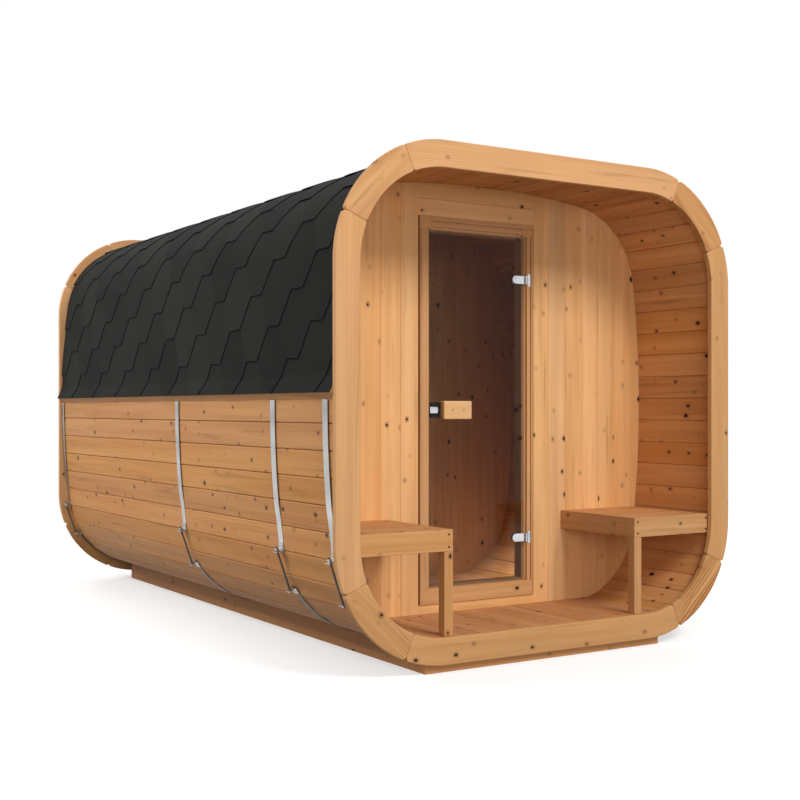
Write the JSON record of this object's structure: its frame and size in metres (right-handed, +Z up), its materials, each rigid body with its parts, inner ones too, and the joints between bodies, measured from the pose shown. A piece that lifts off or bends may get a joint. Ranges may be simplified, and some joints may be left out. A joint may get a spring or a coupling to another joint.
{
  "type": "outdoor barrel sauna",
  "caption": "Outdoor sauna with a rounded square shell of staves, an open porch with benches, a hinged glass door and a shingled roof.",
  "frame": {"origin": "middle of the building's length and width, at the underside of its base beams", "axes": "+Y from the porch front to the rear, +X to the right of someone facing the door, +Z up"},
  "size_m": [2.324, 3.8, 2.315],
  "materials": {
    "stave_wood": "Thermally treated spruce or pine, planed, small dark knots",
    "frame_wood": "Planed pine boards with a clear finish",
    "wall_wood": "Planed vertical boards",
    "floor_wood": "Planed floor boards",
    "base_wood": "Sawn, stained timber",
    "bench_wood": "Planed boards",
    "handle_wood": "Light smooth wood",
    "glass": "Bronze tinted safety glass",
    "chrome": "Polished",
    "band_steel": "Bright stainless strip",
    "shingle": "Black mineral-coated bitumen shingles"
  },
  "bodies": {
    "sauna": {"band_tensioners": "band_steel", "base_cross_planks": "base_wood", "bench_end_aprons": "bench_wood", "bench_front_aprons": "bench_wood", "bench_legs": "bench_wood", "door_head": "frame_wood", "door_jambs": "frame_wood", "door_sill": "frame_wood", "eave_battens": "bench_wood", "first_room_floor": "floor_wood", "floor_joists": "floor_wood", "front_frame_boards": "frame_wood", "front_frame_corners": "frame_wood", "front_wall_left": "wall_wood", "front_wall_over_door": "wall_wood", "front_wall_right": "wall_wood", "front_wall_under_door": "wall_wood", "hinge_plates": "chrome", "hot_room_floor": "floor_wood", "left_base_beam": "base_wood", "left_bench_seat": "bench_wood", "partition_left": "wall_wood", "partition_over_door": "wall_wood", "partition_right": "wall_wood", "partition_under_door": "wall_wood", "porch_floor": "floor_wood", "rear_frame_boards": "frame_wood", "rear_frame_corners": "frame_wood", "rear_wall": "wall_wood", "right_base_beam": "base_wood", "right_bench_seat": "bench_wood", "roof_shingles": "shingle", "shell_bottom": "stave_wood", "shell_left_side": "stave_wood", "shell_lower_left_corner": "stave_wood", "shell_lower_right_corner": "stave_wood", "shell_right_side": "stave_wood", "shell_roof": "stave_wood", "shell_upper_left_corner": "stave_wood", "shell_upper_right_corner": "stave_wood", "steel_bands": "band_steel"},
    "door": {"door_glass": "glass", "door_handle": "handle_wood", "hinge_clips": "chrome", "door_latch": "chrome"}
  },
  "joints": [
    {"name": "door_swing", "type": "hinge", "parent": "sauna", "child": "door", "pos_m": [0.296, -1.325, 0], "axis": [0, 0, 1], "range_deg": [0, 100]}
  ]
}
